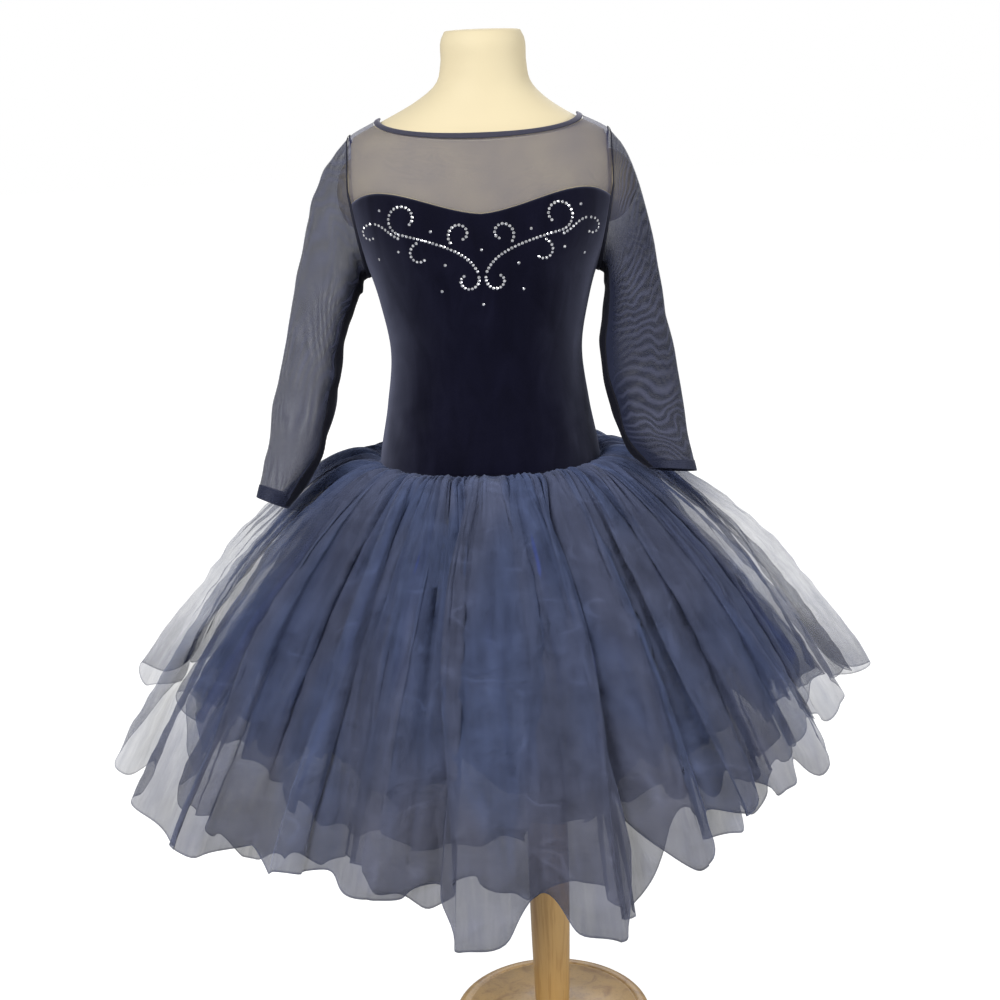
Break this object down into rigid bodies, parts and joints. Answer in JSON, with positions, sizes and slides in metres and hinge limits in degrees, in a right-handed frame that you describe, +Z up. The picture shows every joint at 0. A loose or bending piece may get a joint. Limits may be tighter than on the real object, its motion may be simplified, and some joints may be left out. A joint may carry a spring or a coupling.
{
  "type": "ballet tutu costume on a dress form with stand",
  "caption": "Long-sleeved velvet ballet costume with a sheer yoke, rhinestone scrolls and a layered tulle skirt, on a limbless dress form with a turned wooden stand.",
  "frame": {"origin": "centre of the stand base's underside, on the surface it stands on", "axes": "+Z up along the pole, -Y to the front of the costume, +X to the wearer's left"},
  "size_m": [0.802, 0.6746, 1.126],
  "materials": {
    "form_jersey": "smooth cream jersey over the form",
    "velvet": "navy stretch velvet, lighter where the nap turns away",
    "mesh": "sheer stretch mesh, watered where two layers lie together",
    "binding": "turned mesh binding",
    "tulle_grey": "sheer grey-navy net",
    "tulle_blue": "sheer blue net",
    "tulle_navy": "dark navy net",
    "turned_wood": "satin varnish"
  },
  "bodies": {
    "root": {"form_torso": "form_jersey", "bodice_front": "velvet", "bodice_back": "velvet", "yoke_front": "mesh", "yoke_back": "mesh", "neck_binding": "binding", "sleeve_left": "mesh", "sleeve_right": "mesh", "skirt_layer_1": "tulle_grey", "skirt_layer_2": "tulle_grey", "skirt_layer_3": "tulle_blue", "skirt_layer_4": "tulle_navy", "stand_base": "turned_wood", "stand_pole": "turned_wood"}
  },
  "joints": []
}
